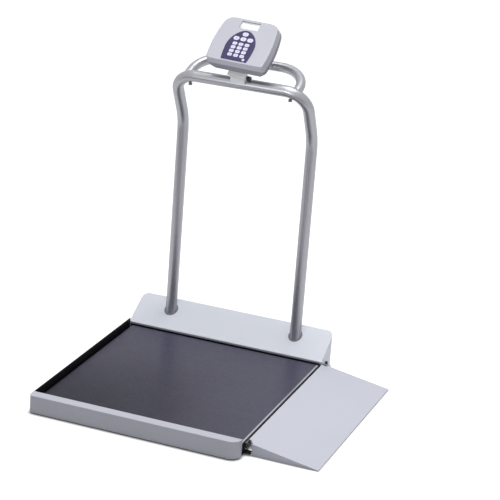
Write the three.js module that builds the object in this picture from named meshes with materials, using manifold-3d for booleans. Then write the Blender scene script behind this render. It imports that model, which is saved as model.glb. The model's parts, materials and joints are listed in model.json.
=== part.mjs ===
// Wheelchair platform scale: a low weighing deck between a front curb and a rear console, a folding
// ramp on the right, a handrail with a rear loop, and a tilting indicator with a keypad.
// Millimetres. X runs from the left guard to the ramp, Y from the front curb to the console, Z is up.
import * as THREE from 'three';
import { mergeVertices } from 'three/addons/utils/BufferGeometryUtils.js';
import { ConvexGeometry } from 'three/addons/geometries/ConvexGeometry.js';
import Module from 'manifold-3d';

const wasm = await Module();
wasm.setup();

// Platform
const platformLength = 700;
const platformDepth = 876;
const footHeight = 5;
const baseSheet = 3;
const deckHeight = 42;
const curbRise = 19.6;
const curbDepth = 36;
const curbWall = 3;
const guardWall = 4;
const leftCornerRadius = 16;
const rightCornerRadius = 34;
const rearCornerRadius = 23;

// Rear console
const consoleDepth = 117;
const consoleHeight = 120;
const consoleFrontRise = 8;
const consoleWall = 3;
const consoleLip = 7;

// Weighing deck
const matThickness = 3;
const deckSheet = 4;
const deckFlange = 15;
const deckFlangeWall = 3;
const deckGapLeft = 10;
const deckGapFront = 5;
const deckGapRear = 8;
const matMargin = 3;
const matRearMargin = 4;
const trimWidth = 3.6;
const trimLip = 1.9;
const trimInset = 5.5;
const ribCount = 6;
const ribWall = 3;
const ribHeight = 8;

// Load cells, junction box and feet
const cellLength = 92;
const cellWidth = 24;
const cellThickness = 13;
const cellPadHeight = 3;
const cellPadLength = 30;
const cellButtonRadius = 8;
const cellWindowRadius = 4;
const cellWindowEase = 1;
const cellInset = 62;
const leadRadius = 1.6;
const leadLane = 12.8;
const boxLength = 90;
const boxWidth = 44;
const boxHeight = 20;
const footRadius = 20;
const footWaistRadius = 8;
const studRadius = 5;
const studReach = 6;
const footInset = 52;

// Ramp and its hinges
const rampReach = 236;
const rampRearLap = 7.6;
const rampSkin = 3;
const rampFlange = 3;
const rampToeHeight = 3.2;
const rampLip = 12;
const rampRibCount = 3;
const rampSeam = 3;
const rampEndGap = 29.6;
const rampFootGap = 0.4;
const pivotOut = 12;
const pivotDrop = 6;
const pivotRadius = 4;
const hingeEarWall = 3.5;
const hingeEarRadius = 8.5;
const hingeWeb = 3;
const hingeLugGap = 0.8;
const hingeEarDrop = 14;
const hingeMastRadius = 5.5;
const hingeMastOut = 2.4;
const hingeMastRise = 18;
const hingeShelf = 20;
const hingeShelfHeight = 9;
const rampNotch = 21.6;
const sideFlangeGap = 0.5;
const sideFlangeWall = 2.7;
const sideFlangeDrop = 2;

// Handrail
const tubeRadius = 19.05;
const tubeWall = 2;
const postSpacing = 455;
const postSetback = 44;
const kneeHeight = 779;
const kneeRadius = 154;
const barReach = 96.5;
const barHeight = 953.7;
const barCornerRadius = 73;
const socketWall = 5;
const socketFlange = 37;
const socketFlangeHeight = 6;
const grommetWall = 2.6;
const grommetLip = 1.4;
const grommetLipHeight = 1.2;
const grommetDepth = 5;

// Rear loop
const loopRadius = 15.875;
const loopWall = 1.8;
const loopLegInset = 39.5;
const loopReach = 124.2;
const loopRise = 42.2;
const loopCornerRadius = 96;
const spigotRadius = 11;
const spigotPlug = 12;
const screwShift = 15;
const screwSeatDrop = 3.2;
const tongueHalf = 4.8;
const tongueLow = 13;
const tongueHigh = 7;
const screwRadius = 3;
const screwHeadRadius = 6.2;
const screwHeadHeight = 8;
const screwSocketRadius = 3;

// Tilt mount
const tiltForward = 14;
const tiltRise = 24.3;
const saddleHalf = 26.2;
const saddleFront = 27;
const saddleBack = 24;
const saddleSkirt = 8;
const saddleCrown = 11;
const pinRadius = 3;
const earWall = 3;
const earRadius = 7.5;
const yokeDepth = 3;
const yokeHeight = 34;
const yokeHalf = 34;
const pinHeadRadius = 6;
const pinHeadLength = 4;
const knobRadius = 7.6;
const knobLength = 10;
const knobFloor = 2;

// Indicator head, in its own frame: X across, Y into the head, Z up along its face
const headSwivel = 7.5;
const headAngle = 45.5;
const headFaceForward = 51.1;
const headFaceRise = 56.2;
const headHeight = 171;
const headHalfLow = 106;
const headHalfBelly = 115;
const headHalfTop = 101;
const headTopRound = 30;
const headLowRound = 10;
const headFlare = 3.5;
const shellWall = 2.8;
const frontShellDepth = 24;
const headSideDepth = 38;
const headDepth = 54;
const headRearHump = 1;
const headHumpHalf = 82;
const headRearRise = 18;
const headRearInset = 15;
const headRearDrop = 15;

// Display, keypad and what lies behind them
const faceShift = -3;
const windowHalf = 33.5;
const windowLow = 131;
const windowHigh = 159.5;
const windowRim = 3;
const windowGlass = 1.5;
const lcdThickness = 1;
const overlayThickness = 0.9;
const overlayPocket = 1.3;
const overlayRim = 3;
const archLow = 8.7;
const archHalfLow = 46;
const archHalfWide = 52;
const archWideAt = 62;
const archTop = 125.5;
const keyColumnPitch = 22.2;
const keyRowPitch = 14.4;
const keyRowTop = 72.6;
const ovalRow = 92.4;
const ovalPitch = 25;
const ovalTop = 111.4;
const roundKeyAcross = 32;
const roundKeyUp = 17.6;
const numberKeyHalf = [7.9, 5.4];
const ovalKeyHalf = [10.2, 6.9];
const roundKeyHalf = [4.6, 4.6];
const keyProud = 0.8;
const keyFlange = 0.6;
const keyFlangeThickness = 1.3;
const keyStemLength = 2.2;
const keyStemRadius = 3;
const keyTravelRoom = 1.2;
const boardThickness = 1.6;
const boardHalf = 70;
const boardLow = 12;
const boardHigh = 161.5;
const boardPostRadius = 3;
const boardPostInset = 6;
const doorHalf = 38;
const doorLow = 62;
const doorHigh = 120;
const packThickness = 17;
const packMargin = 6;

// Cable to the indicator
const cableRadius = 2.6;
const cableEntryHeight = 30;
const cableEntryRun = 46;
const cableBend = 12;
const cableForward = 10.8;
const cableLower = 5.9;
const cableRise = 30;
const cableBehind = 4;

// Clearances
const fit = 0.3;
const bore = 0.3;
const overrun = 1;
const roundSides = 24;
const boreSides = 12;
const knobSides = 36;
const archSegments = 10;
const bendStep = THREE.MathUtils.degToRad(10);
const wireStep = THREE.MathUtils.degToRad(24);

// Levels and places that follow from the sizes above
const baseTop = footHeight + baseSheet;
const curbTop = deckHeight + curbRise;
const deckTop = deckHeight - matThickness - fit;
const deckUnder = deckTop - deckSheet;
const consoleFront = platformDepth - consoleDepth;
const consoleFrontTop = deckHeight + consoleFrontRise;
const deckLeft = guardWall + deckGapLeft;
const deckRight = platformLength - trimInset - trimWidth - fit;
const deckFront = curbDepth + deckGapFront;
const deckRear = consoleFront - deckGapRear;
const middle = platformLength / 2;
const postY = platformDepth - postSetback;
const leftPost = middle - postSpacing / 2;
const rightPost = middle + postSpacing / 2;
const barY = postY - barReach;
const tubeBore = tubeRadius - tubeWall;
const pivotX = platformLength + pivotOut;
const pivotZ = deckHeight - pivotDrop;
const rampFront = curbDepth + rampEndGap;
const rampRear = consoleFront + rampRearLap;
const rampWidth = rampRear - rampFront;
const boxRear = consoleFront + consoleWall + 2 * boxWidth;
const boxFront = boxRear - boxWidth;
const cellBottom = baseTop + fit;
const leadHeight = cellBottom + cellPadHeight + leadRadius;

// Turns a closed three.js geometry into a solid that can be joined and cut
function solid(geometry) {
  const bare = geometry.clone();
  bare.deleteAttribute('normal');
  bare.deleteAttribute('uv');
  const merged = mergeVertices(bare);
  const vertProperties = new Float32Array(merged.attributes.position.array);
  const triVerts = new Uint32Array(merged.index.array);
  return new wasm.Manifold(new wasm.Mesh({ numProp: 3, vertProperties, triVerts }));
}

// Turns a solid back into a geometry
function geometryOf(shape) {
  const mesh = shape.getMesh();
  const geometry = new THREE.BufferGeometry();
  geometry.setAttribute('position', new THREE.BufferAttribute(new Float32Array(mesh.vertProperties), 3));
  geometry.setIndex(new THREE.BufferAttribute(new Uint32Array(mesh.triVerts), 1));
  geometry.computeVertexNormals();
  return geometry;
}

// A block between two corners
function block([x0, y0, z0], [x1, y1, z1]) {
  const geometry = new THREE.BoxGeometry(x1 - x0, y1 - y0, z1 - z0);
  geometry.translate((x0 + x1) / 2, (y0 + y1) / 2, (z0 + z1) / 2);
  return solid(geometry);
}

// A round bar between two points
function rod(from, to, radius, sides = roundSides) {
  const start = new THREE.Vector3(...from);
  const axis = new THREE.Vector3(...to).sub(start);
  const geometry = new THREE.CylinderGeometry(radius, radius, axis.length(), sides);
  const up = new THREE.Vector3(0, 1, 0);
  const turn = new THREE.Quaternion().setFromUnitVectors(up, axis.clone().normalize());
  geometry.applyQuaternion(turn);
  geometry.translate(...start.addScaledVector(axis, 1 / 2).toArray());
  return solid(geometry);
}

// A flat outline pushed upwards from one height to another
function slab(outline, low, high, curveSegments = 8) {
  const depth = high - low;
  const geometry = new THREE.ExtrudeGeometry(outline, { depth, bevelEnabled: false, curveSegments });
  geometry.translate(0, 0, low);
  return solid(geometry);
}

// An outline in the YZ plane pushed along X
function prismX(points, low, high) {
  const outline = new THREE.Shape(points.map(([y, z]) => new THREE.Vector2(y, z)));
  const geometry = new THREE.ExtrudeGeometry(outline, { depth: high - low, bevelEnabled: false });
  geometry.applyMatrix4(new THREE.Matrix4().set(0, 0, 1, low, 1, 0, 0, 0, 0, 1, 0, 0, 0, 0, 0, 1));
  return solid(geometry);
}

// An outline in the XZ plane pushed along Y
function prismY(points, low, high) {
  const outline = new THREE.Shape(points.map(([x, z]) => new THREE.Vector2(x, z)));
  const geometry = new THREE.ExtrudeGeometry(outline, { depth: high - low, bevelEnabled: false });
  geometry.applyMatrix4(new THREE.Matrix4().set(1, 0, 0, 0, 0, 0, -1, high, 0, 1, 0, 0, 0, 0, 0, 1));
  return solid(geometry);
}

// A route of straight runs and round bends, as the stations that a section passes
class Route extends THREE.Curve {
  constructor(stations) {
    super();
    this.stations = stations;
  }

  place(t) {
    const last = this.stations.length - 1;
    const index = Math.min(Math.round(t * last), last);
    return { index, last };
  }

  getPoint(t, target = new THREE.Vector3()) {
    return target.copy(this.stations[this.place(t).index]);
  }

  getPointAt(u, target) {
    return this.getPoint(u, target);
  }

  getTangentAt(u, target = new THREE.Vector3()) {
    const { index, last } = this.place(u);
    target.set(0, 0, 0);
    if (index > 0) {
      target.add(this.stations[index].clone().sub(this.stations[index - 1]).normalize());
    }
    if (index < last) {
      target.add(this.stations[index + 1].clone().sub(this.stations[index]).normalize());
    }
    return target.normalize();
  }
}

// Rounds each inner corner of a polyline with an arc of the given radius
function bent(corners, radii, stepAngle = bendStep) {
  const points = corners.map((corner) => new THREE.Vector3(...corner));
  const stations = [points[0]];
  for (let i = 1; i < points.length - 1; i += 1) {
    const back = points[i - 1].clone().sub(points[i]).normalize();
    const ahead = points[i + 1].clone().sub(points[i]).normalize();
    const half = back.angleTo(ahead) / 2;
    const radius = radii[i - 1];
    const centre = points[i].clone();
    centre.addScaledVector(back.clone().add(ahead).normalize(), radius / Math.sin(half));
    const from = points[i].clone().addScaledVector(back, radius / Math.tan(half)).sub(centre);
    const to = points[i].clone().addScaledVector(ahead, radius / Math.tan(half)).sub(centre);
    const turn = Math.PI - 2 * half;
    const steps = Math.max(2, Math.ceil(turn / stepAngle));
    for (let step = 0; step <= steps; step += 1) {
      const angle = (turn * step) / steps;
      const point = centre.clone();
      point.addScaledVector(from, Math.sin(turn - angle) / Math.sin(turn));
      point.addScaledVector(to, Math.sin(angle) / Math.sin(turn));
      stations.push(point);
    }
  }
  stations.push(points[points.length - 1]);
  return stations;
}

// A bar or tube along stations: its bore is left out when the inner radius is zero
function pipe(stations, outer, inner = 0, sides = roundSides) {
  const ring = (radius, count) => Array.from({ length: count }, (_, i) => {
    const angle = (2 * Math.PI * i) / count;
    return new THREE.Vector2(radius * Math.cos(angle), radius * Math.sin(angle));
  });
  const section = new THREE.Shape(ring(outer, sides));
  if (inner > 0) {
    section.holes.push(new THREE.Path(ring(inner, boreSides)));
  }
  const extrudePath = new Route(stations);
  return solid(new THREE.ExtrudeGeometry(section, { steps: stations.length - 1, extrudePath }));
}

// The platform's plan, drawn in by an inset: two front corners and two rear ones
function planOutline(inset) {
  const left = inset;
  const right = platformLength - inset;
  const front = inset;
  const rear = platformDepth - inset;
  const leftRound = Math.max(leftCornerRadius - inset, fit);
  const rightRound = Math.max(rightCornerRadius - inset, fit);
  const rearRound = Math.max(rearCornerRadius - inset, fit);
  const plan = new THREE.Shape();
  plan.moveTo(left + leftRound, front);
  plan.lineTo(right - rightRound, front);
  plan.absarc(right - rightRound, front + rightRound, rightRound, -Math.PI / 2, 0, false);
  plan.lineTo(right, rear - rearRound);
  plan.absarc(right - rearRound, rear - rearRound, rearRound, 0, Math.PI / 2, false);
  plan.lineTo(left + rearRound, rear);
  plan.absarc(left + rearRound, rear - rearRound, rearRound, Math.PI / 2, Math.PI, false);
  plan.lineTo(left, front + leftRound);
  plan.absarc(left + leftRound, front + leftRound, leftRound, Math.PI, (3 * Math.PI) / 2, false);
  return plan;
}

const finishes = {
  silver: new THREE.MeshStandardMaterial({ color: 0xc9cbd6, roughness: 0.55, metalness: 0.3 }),
  black: new THREE.MeshStandardMaterial({ color: 0x17171a, roughness: 0.6, metalness: 0.2 }),
  mat: new THREE.MeshStandardMaterial({ color: 0x4b4b58, roughness: 0.85, metalness: 0 }),
  tube: new THREE.MeshStandardMaterial({ color: 0xa9a9b1, roughness: 0.4, metalness: 0.5 }),
  zinc: new THREE.MeshStandardMaterial({ color: 0xb9b9c0, roughness: 0.35, metalness: 0.9 }),
  rubber: new THREE.MeshStandardMaterial({ color: 0x1c1c1e, roughness: 0.9, metalness: 0 }),
  casing: new THREE.MeshStandardMaterial({ color: 0xd8d9e3, roughness: 0.5, metalness: 0 }),
  casingRear: new THREE.MeshStandardMaterial({ color: 0x8f8f97, roughness: 0.6, metalness: 0 }),
  overlay: new THREE.MeshStandardMaterial({ color: 0x4a4178, roughness: 0.4, metalness: 0 }),
  key: new THREE.MeshStandardMaterial({ color: 0xf0f0f6, roughness: 0.5, metalness: 0 }),
  glass: new THREE.MeshStandardMaterial({ color: 0xf2f4fa, roughness: 0.1, metalness: 0 }),
  board: new THREE.MeshStandardMaterial({ color: 0x1f5a3a, roughness: 0.5, metalness: 0 }),
};

const scale = new THREE.Group();

// Names a piece, gives it its finish and places it in a group
function add(name, shape, finish, parent = scale) {
  const mesh = new THREE.Mesh(shape.isBufferGeometry ? shape : geometryOf(shape), finishes[finish]);
  mesh.name = name;
  parent.add(mesh);
  return mesh;
}

// Height of the console's sloping top at a given depth
function slopeAt(y) {
  const share = (y - consoleFront) / consoleDepth;
  return consoleFrontTop + share * (consoleHeight - consoleFrontTop);
}

const cellAngle = Math.atan2(consoleHeight - consoleFrontTop, consoleDepth);
const slopeWall = consoleWall / Math.cos(cellAngle);

// Base frame: a low tray that carries the feet, the load cells, the sockets and the covers
const footPlaces = [];
for (const x of [footInset, platformLength - footInset]) {
  for (const y of [footInset, platformDepth - footInset]) {
    footPlaces.push([x, y]);
  }
}
const footBossHeight = studReach + fit;

function hingeSpans() {
  const reach = 2 * (hingeEarWall + hingeLugGap) + rampFlange;
  const frontLow = rampFront - hingeEarWall - hingeLugGap;
  const rearLow = rampRear - rampFlange - hingeEarWall - hingeLugGap;
  return [[frontLow, frontLow + reach], [rearLow, rearLow + reach]];
}

// The slot that the load cells' leads pass through
function leadSlot(front, rear) {
  return block(
    [cellInset, front, baseTop],
    [platformLength - cellInset, rear, leadHeight + 3 * leadRadius],
  );
}

function baseFrame() {
  let frame = slab(planOutline(guardWall + fit), footHeight, baseTop);
  const sideInset = guardWall + fit;
  for (const [x, y] of footPlaces) {
    const bossTop = [x, y, baseTop + footBossHeight];
    const boreTop = [x, y, baseTop + studReach + fit / 2];
    frame = frame.add(rod([x, y, footHeight], bossTop, footWaistRadius + baseSheet));
    frame = frame.subtract(rod([x, y, footHeight - overrun], boreTop, studRadius + bore));
  }
  const [frontSpan, rearSpan] = hingeSpans();
  for (const [low, high] of [frontSpan, rearSpan]) {
    const shelfEnd = platformLength + hingeShelf;
    const tab = block([platformLength - 2 * sideInset, low, footHeight], [shelfEnd, high, baseTop]);
    const shelfTop = footHeight + hingeShelfHeight;
    const shelf = block([platformLength + fit, low, footHeight], [shelfEnd, high, shelfTop]);
    frame = frame.add(tab).add(shelf);
  }
  const upstand = block(
    [platformLength - hingeWeb, frontSpan[0], footHeight],
    [platformLength, frontSpan[1], deckUnder],
  );
  const flangeLeft = platformLength - trimInset + sideFlangeGap;
  const flangeRight = flangeLeft + sideFlangeWall;
  const flange = block(
    [flangeLeft, curbDepth + fit, footHeight],
    [flangeRight, consoleFront - fit, deckHeight - sideFlangeDrop],
  );
  const flangeFoot = block(
    [platformLength - 2 * sideInset, curbDepth + fit, footHeight],
    [flangeRight, consoleFront - fit, baseTop],
  );
  frame = frame.add(upstand).add(flange).add(flangeFoot);
  const damFront = consoleFront + consoleWall + fit;
  const dam = block(
    [consoleWall * 2, damFront, footHeight],
    [platformLength - consoleWall * 2, damFront + consoleWall, consoleFrontTop - consoleLip],
  );
  return frame.add(dam.subtract(leadSlot(damFront - overrun, damFront + 2 * consoleWall)));
}

add('base_frame', baseFrame(), 'black');

// Levelling feet: a rubber-shod pad on a threaded stud
for (const [i, [x, y]] of footPlaces.entries()) {
  const profile = [
    [0, 0],
    [footRadius, 0],
    [footRadius, footHeight / 2],
    [footWaistRadius, footHeight - fit],
    [studRadius, footHeight - fit],
    [studRadius, baseTop + studReach - fit],
    [0, baseTop + studReach - fit],
  ].map(([radius, z]) => new THREE.Vector2(radius, z));
  const geometry = new THREE.LatheGeometry(profile, roundSides);
  geometry.rotateX(Math.PI / 2);
  const foot = add(`levelling_foot_${i + 1}`, solid(geometry), 'rubber');
  foot.position.set(x, y, 0);
}

// Front curb: a silver cover with a round right end, open underneath
function frontCurb() {
  const span = (front, rear, low, high) => block(
    [-overrun, front, low],
    [platformLength + overrun, rear, high],
  );
  const outer = slab(planOutline(0), footHeight, curbTop)
    .intersect(span(-overrun, curbDepth, 0, curbTop + overrun));
  const hollow = slab(planOutline(curbWall), footHeight - overrun, curbTop - curbWall)
    .intersect(span(0, curbDepth - curbWall, 0, curbTop));
  const sill = slab(planOutline(curbWall), 0, baseTop + fit);
  return outer.subtract(hollow).subtract(sill);
}

add('front_curb', frontCurb(), 'silver');

// Left guard: a black wall from the curb to the console
const guardTop = curbTop - fit;
add('left_guard', block(
  [0, curbDepth + fit, footHeight],
  [guardWall, consoleFront - fit, guardTop],
), 'black');

// Rear console: a sloping silver cover, open underneath, with a hole for each post
const holeRadius = tubeRadius + bore + grommetWall + fit;

function consoleCover() {
  const wedge = (inset, low) => prismX([
    [consoleFront + inset, low],
    [platformDepth + overrun, low],
    [platformDepth + overrun, slopeAt(platformDepth + overrun) - inset * (slopeWall / consoleWall)],
    [consoleFront + inset, slopeAt(consoleFront + inset) - inset * (slopeWall / consoleWall)],
  ], -overrun, platformLength + overrun);
  const outer = slab(planOutline(0), footHeight, consoleHeight + overrun).intersect(wedge(0, footHeight));
  const hollow = slab(planOutline(consoleWall), 0, consoleHeight).intersect(wedge(consoleWall, 0));
  const sill = slab(planOutline(consoleWall), 0, baseTop + fit);
  let cover = outer.subtract(hollow).subtract(sill);
  for (const x of [leftPost, rightPost]) {
    const holeLow = [x, postY, consoleFrontTop - deckFlange];
    cover = cover.subtract(rod(holeLow, [x, postY, consoleHeight], holeRadius));
  }
  const rearSpan = hingeSpans()[1];
  const tabSlot = block(
    [platformLength - 2 * consoleWall, rearSpan[0] - fit, 0],
    [platformLength + overrun, rearSpan[1] + fit, baseTop + fit],
  );
  const frontSlot = block(
    [2 * consoleWall, consoleFront - overrun, 0],
    [platformLength - 2 * consoleWall, consoleFront + consoleWall + fit / 2, consoleFrontTop - consoleLip],
  );
  return cover.subtract(tabSlot).subtract(frontSlot);
}

add('rear_console', consoleCover(), 'silver');

// Deck plate: a sheet with turned-down edges and cross ribs
function deckPlate() {
  const low = deckTop - deckFlange;
  const plate = block([deckLeft, deckFront, low], [deckRight, deckRear, deckTop]);
  const hollow = block(
    [deckLeft + deckFlangeWall, deckFront + deckFlangeWall, low - overrun],
    [deckRight - deckFlangeWall, deckRear - deckFlangeWall, deckUnder],
  );
  let deck = plate.subtract(hollow);
  for (let i = 1; i <= ribCount; i += 1) {
    const y = deckFront + ((deckRear - deckFront) * i) / (ribCount + 1);
    deck = deck.add(block(
      [deckLeft + deckFlangeWall / 2, y - ribWall / 2, deckUnder - ribHeight],
      [deckRight - deckFlangeWall / 2, y + ribWall / 2, deckUnder + deckSheet / 2],
    ));
  }
  return deck;
}

add('deck_plate', deckPlate(), 'black');
add('deck_mat', block(
  [deckLeft + matMargin, deckFront + matMargin, deckTop + fit],
  [deckRight - trimLip - fit, deckRear - matRearMargin, deckHeight],
), 'mat');

// Bright edge trim on the ramp side: an angle that laps the deck's edge
function edgeTrim() {
  const right = deckRight + fit + trimWidth;
  const rear = deckRear - matRearMargin;
  const leg = block([deckRight + fit, deckFront, deckTop - deckFlange], [right, rear, deckHeight]);
  const lap = block([deckRight - trimLip, deckFront, deckTop + fit], [right, rear, deckHeight]);
  return leg.add(lap);
}

add('deck_edge_trim', edgeTrim(), 'zinc');

// Load cells: a bar on a pad at its fixed end, a window that lets it bend, and a button under the deck
function loadCell(side, end) {
  const fixed = block([0, -cellWidth / 2, 0], [cellPadLength, cellWidth / 2, cellPadHeight]);
  const beam = block(
    [0, -cellWidth / 2, cellPadHeight],
    [cellLength, cellWidth / 2, cellPadHeight + cellThickness],
  );
  const buttonAt = cellLength - cellButtonRadius - cellPadHeight;
  const top = deckUnder - fit - cellBottom;
  const button = rod([buttonAt, 0, cellPadHeight], [buttonAt, 0, top], cellButtonRadius);
  let cell = fixed.add(beam).add(button);
  const level = cellPadHeight + cellThickness / 2;
  const throat = cellPadLength + cellWindowRadius * 2;
  for (const x of [throat, throat + cellWindowRadius * 2]) {
    const windowRound = cellWindowRadius + cellWindowEase;
    cell = cell.subtract(rod([x, -cellWidth, level], [x, cellWidth, level], windowRound, boreSides));
  }
  const placed = side > 0 ? cell : cell.rotate([0, 0, 180]);
  const x = side > 0 ? cellInset : platformLength - cellInset;
  const y = end < 0 ? deckFront + cellInset : deckRear - cellInset;
  const cellSolid = placed.translate([x, y, cellBottom]);
  const boxSide = middle - (side * boxLength) / 2;
  const slot = boxFront + (boxWidth * (end < 0 ? 1 : 2)) / 3;
  const startX = x + (side * cellPadLength) / 2;
  const lane = x + side * (cellPadLength + cellLength + (end < 0 ? 2 * leadLane : leadLane));
  const route = bent([
    [startX, y, leadHeight],
    [startX, y + cellWidth, leadHeight],
    [lane, y + cellWidth, leadHeight],
    [lane, slot, leadHeight],
    [boxSide - side * fit, slot, leadHeight],
  ], [leadRadius * 3, leadRadius * 3, leadRadius * 3], wireStep);
  return cellSolid.add(pipe(route, leadRadius, 0, 6));
}

let cellNumber = 0;
for (const side of [1, -1]) {
  for (const end of [-1, 1]) {
    cellNumber += 1;
    add(`load_cell_${cellNumber}`, loadCell(side, end), 'zinc');
  }
}

// Junction box: gathers the four leads
add('junction_box', block(
  [middle - boxLength / 2, boxFront, cellBottom],
  [middle + boxLength / 2, boxRear, cellBottom + boxHeight],
), 'black');

// Ramp: a sheet with side flanges that reach the floor, a lip at the seam and stiffening ribs
const rampSeamX = platformLength + rampSeam;
const rampToe = platformLength + rampReach;
const rampSlope = (deckHeight - rampToeHeight) / (rampToe - rampSeamX);

function rampTopAt(x) {
  return deckHeight - (x - rampSeamX) * rampSlope;
}

const rampNotchX = platformLength + rampNotch;

function rampPlate() {
  const skinPoints = [
    [rampSeamX, deckHeight],
    [rampSeamX, deckHeight - rampSkin],
    [rampToe - rampSkin * 2, rampFootGap],
    [rampToe, rampFootGap],
    [rampToe, rampToeHeight],
  ];
  let ramp = prismY(skinPoints, rampFront, rampRear);
  const lip = block(
    [rampSeamX, rampFront, deckHeight - rampLip],
    [rampSeamX + rampSkin, rampRear, deckHeight - rampSkin / 2],
  );
  ramp = ramp.add(lip);
  const cheek = [
    [rampNotchX, rampTopAt(rampNotchX) - rampSkin / 2],
    [rampNotchX, rampFootGap],
    [rampToe - rampSkin * 2, rampFootGap],
    [rampToe - rampSkin, rampTopAt(rampToe) - rampSkin / 2],
  ];
  for (const low of [rampFront, rampRear - rampFlange]) {
    ramp = ramp.add(prismY(cheek, low, low + rampFlange));
  }
  const rib = [
    [rampSeamX + rampSkin / 2, deckHeight - rampSkin / 2],
    [rampSeamX + rampSkin / 2, deckHeight - rampLip],
    [rampToe - rampSkin * 8, rampTopAt(rampToe - rampSkin * 8) - rampSkin / 2],
  ];
  for (let i = 1; i <= rampRibCount; i += 1) {
    const y = rampFront + (rampWidth * i) / (rampRibCount + 1);
    ramp = ramp.add(prismY(rib, y - rampFlange / 2, y + rampFlange / 2));
  }
  for (const [low, high] of hingeSpans()) {
    const notch = block(
      [0, low - hingeLugGap, 0],
      [rampNotchX, high + hingeLugGap, deckHeight + overrun],
    );
    ramp = ramp.subtract(notch);
  }
  for (const low of [rampFront, rampRear - rampFlange]) {
    const lug = rod([pivotX, low, pivotZ], [pivotX, low + rampFlange, pivotZ], hingeEarRadius - fit);
    const arm = prismY([
      [pivotX, pivotZ + hingeEarRadius / 2],
      [pivotX, pivotZ - hingeEarRadius + fit],
      [rampNotchX + rampSkin, pivotZ - 2 * hingeEarRadius],
      [rampNotchX + rampSkin, rampTopAt(rampNotchX + rampSkin) - fit],
    ], low, low + rampFlange);
    ramp = ramp.add(lug).add(arm);
  }
  for (const [low, high] of hingeSpans()) {
    ramp = ramp.subtract(rod([pivotX, low, pivotZ], [pivotX, high, pivotZ], pivotRadius + bore));
  }
  return ramp;
}

add('ramp_plate', rampPlate(), 'silver');

// Ramp hinges: a clevis at each end, and a headed pin through its ears and the ramp's lug
for (const [i, [low, high]] of hingeSpans().entries()) {
  const label = i === 0 ? 'front' : 'rear';
  const web = block(
    [platformLength + fit, low, pivotZ - hingeEarDrop],
    [platformLength + hingeWeb, high, pivotZ + hingeEarRadius / 2],
  );
  let clevis = web;
  const outerLow = i === 0 ? low : high - hingeEarWall;
  const top = pivotZ + hingeMastRise - hingeMastRadius;
  const mastX = pivotX + hingeMastOut;
  const mast = block(
    [mastX - hingeMastRadius, outerLow, pivotZ],
    [mastX + hingeMastRadius, outerLow + hingeEarWall, top],
  );
  const mastHead = rod([mastX, outerLow, top], [mastX, outerLow + hingeEarWall, top], hingeMastRadius);
  clevis = clevis.add(mast).add(mastHead);
  for (const earLow of [low, high - hingeEarWall]) {
    const ear = prismY([
      [platformLength + fit, pivotZ - hingeEarDrop],
      [pivotX, pivotZ - hingeEarRadius],
      [pivotX, pivotZ + hingeEarRadius],
      [platformLength + fit, pivotZ + hingeEarRadius / 2],
    ], earLow, earLow + hingeEarWall);
    const crown = rod([pivotX, earLow, pivotZ], [pivotX, earLow + hingeEarWall, pivotZ], hingeEarRadius);
    clevis = clevis.add(ear).add(crown);
  }
  const eye = rod([pivotX, low - overrun, pivotZ], [pivotX, high + overrun, pivotZ], pivotRadius + bore);
  clevis = clevis.subtract(eye);
  add(`hinge_bracket_${label}`, clevis, 'zinc');
  const out = i === 0 ? -1 : 1;
  const headFace = (i === 0 ? low : high) + out * fit;
  const tail = (i === 0 ? high : low) - out * fit;
  const headEnd = headFace + out * hingeEarWall;
  const shank = rod([pivotX, headFace, pivotZ], [pivotX, tail, pivotZ], pivotRadius);
  const head = rod([pivotX, headFace, pivotZ], [pivotX, headEnd, pivotZ], pivotRadius + hingeWeb);
  add(`hinge_pin_${label}`, shank.add(head), 'zinc');
}

// Sockets that hold the posts on the base, inside the console
const socketOuter = tubeRadius + bore + socketWall;
const socketBottom = baseTop + fit;
const socketTop = slopeAt(postY - socketOuter) - slopeWall - grommetDepth;
const postBottom = socketBottom + socketFlangeHeight + fit;

function postSocket(x, cableSide) {
  const flange = block(
    [x - socketFlange, postY - socketFlange, socketBottom],
    [x + socketFlange, postY + socketFlange - socketWall, socketBottom + socketFlangeHeight],
  );
  const collar = rod([x, postY, socketBottom], [x, postY, socketTop], socketOuter);
  const well = rod([x, postY, postBottom - fit], [x, postY, socketTop + overrun], tubeRadius + bore);
  let socket = flange.add(collar).subtract(well);
  for (const [footX, footY] of footPlaces) {
    const footRoom = footWaistRadius + baseSheet + fit;
    const roomTop = socketBottom + Math.max(footBossHeight, socketFlangeHeight) + overrun;
    socket = socket.subtract(rod([footX, footY, 0], [footX, footY, roomTop], footRoom));
  }
  if (cableSide !== 0) {
    const start = [x, postY - cableForward, cableEntryHeight];
    const reach = [x + cableSide * socketOuter * 2, postY - cableForward, cableEntryHeight];
    socket = socket.subtract(rod(start, reach, cableRadius + 2 * bore, boreSides));
  }
  return socket;
}

add('post_socket_left', postSocket(leftPost, 0), 'zinc');
add('post_socket_right', postSocket(rightPost, -1), 'zinc');

// Grommets that seal the posts in the console's sloping top
function postGrommet(x) {
  const band = (radius, low, high) => {
    const reach = 2 * holeRadius;
    const layer = prismX([
      [postY - reach, slopeAt(postY - reach) + low],
      [postY + reach, slopeAt(postY + reach) + low],
      [postY + reach, slopeAt(postY + reach) + high],
      [postY - reach, slopeAt(postY - reach) + high],
    ], x - reach, x + reach);
    return rod([x, postY, 0], [x, postY, 2 * consoleHeight], radius).intersect(layer);
  };
  const sleeve = band(holeRadius - fit, -grommetDepth, grommetLipHeight);
  const lip = band(holeRadius + grommetLip, fit, grommetLipHeight);
  return sleeve.add(lip).subtract(rod([x, postY, 0], [x, postY, 2 * consoleHeight], tubeRadius + bore));
}

add('post_grommet_left', postGrommet(leftPost), 'silver');
add('post_grommet_right', postGrommet(rightPost), 'silver');

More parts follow.
